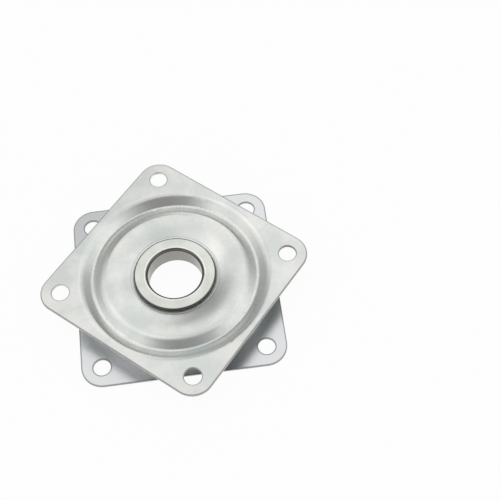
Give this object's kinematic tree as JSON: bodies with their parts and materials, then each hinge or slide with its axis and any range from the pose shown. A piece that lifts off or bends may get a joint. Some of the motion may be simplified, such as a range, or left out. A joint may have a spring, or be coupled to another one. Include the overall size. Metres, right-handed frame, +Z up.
{
  "type": "lazy susan bearing",
  "caption": "Square lazy susan bearing: paired dished steel plates with pressed ball races and corner screw holes turn on loose balls around a hollow centre eyelet.",
  "frame": {"origin": "on the turning axis, at the outer face of the lower plate, which it rests on", "axes": "+Z up along the turning axis, X and Y along the sides of the lower plate"},
  "size_m": [0.0994, 0.0994, 0.0105],
  "materials": {
    "zinc_plate": "satin zinc plating",
    "eyelet_steel": "satin zinc plating",
    "ball_steel": "polished steel with a film of grease"
  },
  "bodies": {
    "lower_plate": {"lower_plate": "zinc_plate", "center_eyelet": "eyelet_steel"},
    "upper_plate": {"upper_plate": "zinc_plate"},
    "ball_train": {"ball_01": "ball_steel", "ball_02": "ball_steel", "ball_03": "ball_steel", "ball_04": "ball_steel", "ball_05": "ball_steel", "ball_06": "ball_steel", "ball_07": "ball_steel", "ball_08": "ball_steel", "ball_09": "ball_steel", "ball_10": "ball_steel", "ball_11": "ball_steel", "ball_12": "ball_steel", "ball_13": "ball_steel", "ball_14": "ball_steel", "ball_15": "ball_steel", "ball_16": "ball_steel", "ball_17": "ball_steel"}
  },
  "joints": [
    {"name": "plate_swivel", "type": "hinge", "parent": "lower_plate", "child": "upper_plate", "pos_m": [0, 0, 0.00523], "axis": [0, 0, 1], "continuous": true},
    {"name": "ball_orbit", "type": "hinge", "parent": "lower_plate", "child": "ball_train", "pos_m": [0, 0, 0.00523], "axis": [0, 0, 1], "continuous": true}
  ],
  "couplings": [
    {"joint": "ball_orbit", "follows": "plate_swivel", "ratio": 0.5}
  ]
}
